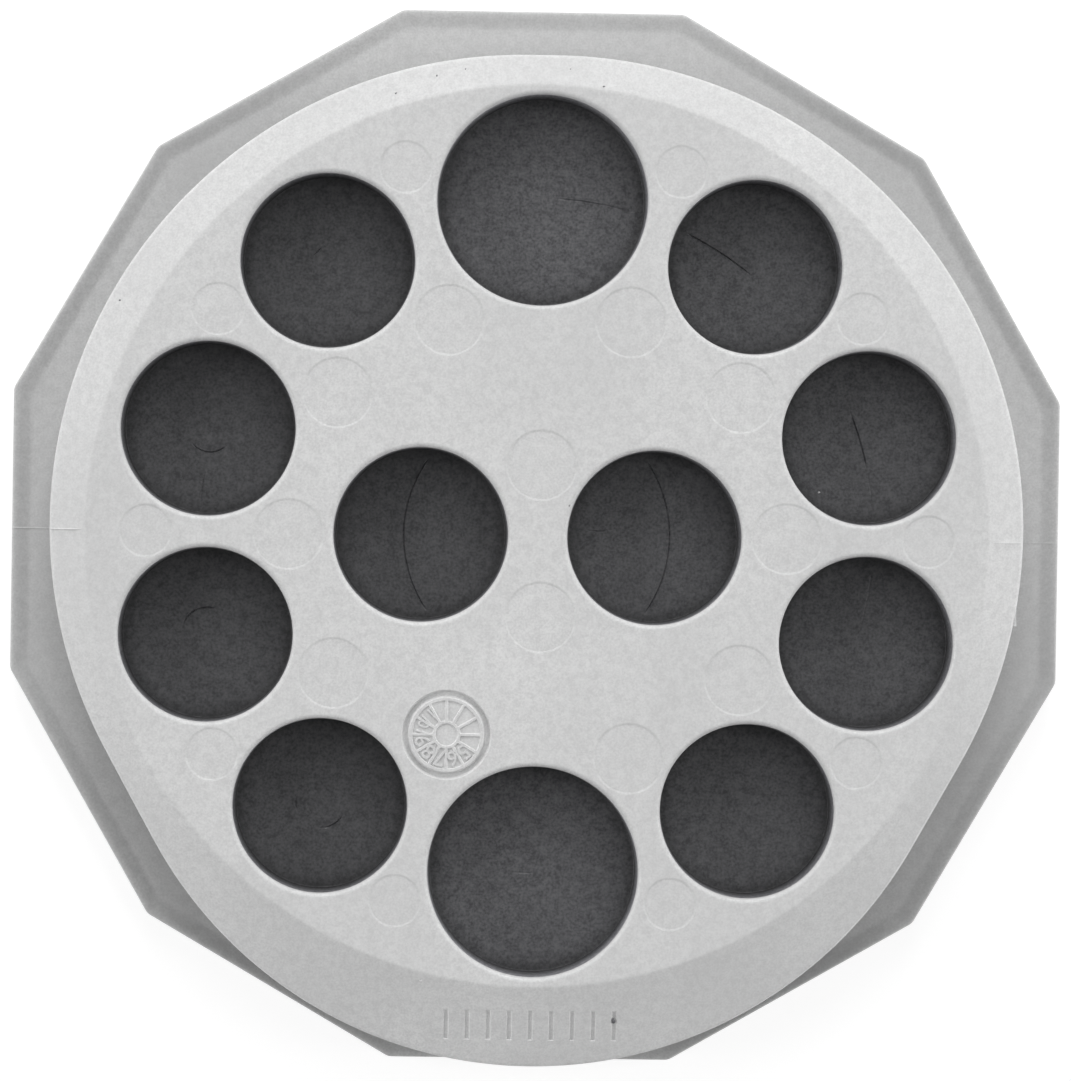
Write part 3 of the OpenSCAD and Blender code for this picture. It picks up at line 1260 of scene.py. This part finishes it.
def buildSpecks(name, spots, material):
    points, faces = [], []
    corners = specks["corners"]
    twofold, threefold = specks["uneven"]
    for spot, (x, y, radius) in enumerate(spots):
        base = surfaceHeight(x, y)
        rings = []
        for reach, rise in specks["section"]:
            first = len(points)
            z = min(base + rise * specks["rise"] * radius, faceTop - 0.001)
            for k in range(corners):
                turn = tau * k / corners
                uneven = 1 + twofold * sin(2 * turn + spot) + threefold * sin(3 * turn + 2 * spot)
                uneven = radius * reach * uneven
                points.append((*around(x, y, uneven, turn), z))
            rings.append(list(range(first, first + corners)))
        for lower, upper in zip(rings, rings[1:]):
            for k in range(corners):
                n = (k + 1) % corners
                faces.append([lower[k], lower[n], upper[n], upper[k]])
        faces += [rings[0][::-1], rings[-1]]
    mesh = meshOf(name, points, faces)
    smoothFaces(mesh)
    placePiece(name, mesh, material)


def buildBurr():
    # A sliver along the edge of the lip that widens to a blunt end
    steps = burr["steps"]
    points, faces = [], []
    for k in range(steps + 1):
        share = k / steps
        polar = radians(burr["from"] + (burr["to"] - burr["from"]) * share)
        point, outward = lipPlaceAt(polar)
        z = faceTop - (point.length - burr["inside"] - sizes["faceRadius"]) * slopeTan - burr["below"]
        reach = burr["reach"] * (burr["thinShare"] + (1 - burr["thinShare"]) * share ** burr["widening"])
        inner, outer = point - outward * burr["root"], point + outward * reach
        middle = point + outward * reach * burr["ridge"]
        half = burr["thinHalf"] + burr["gain"] * share
        tip = z + half * burr["tipRise"]
        points += [(*inner, z), (*middle, z + half), (*outer, tip), (*middle, z - half)]
    for k in range(steps):
        a, b = 4 * k, 4 * k + 4
        faces += [[a + i, a + (i + 1) % 4, b + (i + 1) % 4, b + i] for i in range(4)]
    faces += [[3, 2, 1, 0], [4 * steps + i for i in range(4)]]
    mesh = meshOf("lip_burr", points, faces)
    turnOutwards(mesh)
    placePiece("lip_burr", mesh, lightMaterial)


buildBody()
buildMembranes()
buildDialNumbers()
# The dark specks take the right-hand membranes' material, with its painted light tone and its painted light
# and shade by height
buildSpecks("dark_specks", specks["dark"], darkMaterials["right"])
buildSpecks("light_specks", specks["light"], lightMaterial)
buildBurr()
print("specks and burr")


# Floor, light and camera

stage = {
    "floorSize": 3.0,
    "floorHeight": -0.00002,
    "floorColour": (0.80, 0.80, 0.80),
    "shownColour": (0.30, 0.30, 0.30),  # what the camera sees of the light on the floor
    "shownGlow": 0.80,
    "world": 0.20,
    "shownWorld": 1.0,
    "white": (1.0, 1.0, 1.0),
}


def buildFloor():
    half = stage["floorSize"] / 2
    mesh = bpy.data.meshes.new("pale_floor")
    corners = [(-half, -half, 0), (half, -half, 0), (half, half, 0), (-half, half, 0)]
    mesh.from_pydata(corners, [], [(0, 1, 2, 3)])
    floor = addObject("pale_floor", mesh)
    floor.location.z = stage["floorHeight"]
    material = bpy.data.materials.new("paleFloor")
    material.use_nodes = True
    tree = material.node_tree
    tree.nodes.remove(tree.nodes["Principled BSDF"])
    # Camera, glossy and transmission rays see a lighter floor than the other rays do
    path = addNode(tree, "LightPath", {})
    seen = addMath(tree, "MAXIMUM", path["Is Camera Ray"], path["Is Glossy Ray"])
    seen = addMath(tree, "MAXIMUM", seen, path["Is Transmission Ray"])
    plain = addNode(tree, "BsdfDiffuse", {"Color": stage["floorColour"]})[0]
    face = addNode(tree, "BsdfDiffuse", {"Color": stage["shownColour"]})[0]
    glow = {"Color": stage["white"], "Strength": stage["shownGlow"]}
    glowing = addNode(tree, "Emission", glow)[0]
    shown = addNode(tree, "AddShader", {0: face, 1: glowing})[0]
    surface = addNode(tree, "MixShader", {0: seen, 1: plain, 2: shown})[0]
    tree.links.new(surface, tree.nodes["Material Output"].inputs["Surface"])
    mesh.materials.append(material)


def buildWorld():
    world = bpy.data.worlds.new("softWorld")
    bpy.context.scene.world = world
    world.use_nodes = True
    tree = world.node_tree
    tree.nodes.remove(tree.nodes["Background"])
    plain, shown = [
        addNode(tree, "Background", {"Color": stage["white"], "Strength": stage[label]})[0]
        for label in ("world", "shownWorld")
    ]
    camera = addNode(tree, "LightPath", {})["Is Camera Ray"]
    surface = addNode(tree, "MixShader", {0: camera, 1: plain, 2: shown})[0]
    tree.links.new(surface, tree.nodes["World Output"].inputs["Surface"])


softBoxes = {
    "away": 0.9,
    "size": 0.5,
    # The direction each stands in, its height above the floor in degrees, and its power
    "boxes": {
        "back": (90, 22, 5.0),
        "backHigh": (90, 45, 1.6),
        "rightLow": (0, 10, 4.9),
        "rightHigh": (0, 45, 1.35),
        "left": (180, 22, 4.7),
        "front": (270, 10, 1.25),
    },
}


def buildLights():
    for name, (direction, height, power) in softBoxes["boxes"].items():
        lamp = bpy.data.lights.new(name, "AREA")
        lamp.shape = "SQUARE"
        lamp.size = softBoxes["size"]
        lamp.energy = power
        turn, rise = radians(direction), radians(height)
        towards = Vector((cos(turn) * cos(rise), sin(turn) * cos(rise), sin(rise)))
        holder = addObject(name, lamp)
        holder.location = towards * softBoxes["away"]
        holder.rotation_mode = "QUATERNION"
        holder.rotation_quaternion = towards.to_track_quat("Z", "Y")


view = {
    "away": 330.0,  # above the inner face, mm
    "foot": (-7.2, 2.4),  # where it stands over the object, mm
    "frameHeight": 74.24,  # height of the picture at the inner face, mm
    "imageHeight": 1081,
    "rollDegrees": 0.8725,
    "axisRight": 2.25,  # place of the grommet's axis from the middle of the picture, pixels
    "axisUp": 4.23,
}


def buildCamera():
    data = bpy.data.cameras.new("camera")
    camera = addObject("camera", data)
    roll = radians(view["rollDegrees"])
    right = Vector((*around(0, 0, 1, roll), 0))
    up = Vector((-sin(roll), cos(roll), 0))
    pixel = view["frameHeight"] / view["imageHeight"]
    target = -(right * view["axisRight"] + up * view["axisUp"]) * pixel
    target.z = faceTop
    place = Vector((*view["foot"], faceTop + view["away"]))
    back = (place - target).normalized()
    side = up.cross(back).normalized()
    upright = back.cross(side)
    turn = Matrix((side, upright, back)).transposed()
    camera.matrix_world = Matrix.Translation(place * mm) @ turn.to_4x4()
    data.sensor_width = 36
    data.lens = data.sensor_width * (place - target).length / view["frameHeight"]
    data.clip_start = 0.01
    data.clip_end = 10
    bpy.context.scene.camera = camera


buildFloor()
buildWorld()
buildLights()
buildCamera()
bpy.context.scene.view_settings.view_transform = "Standard"
print("stage ready")
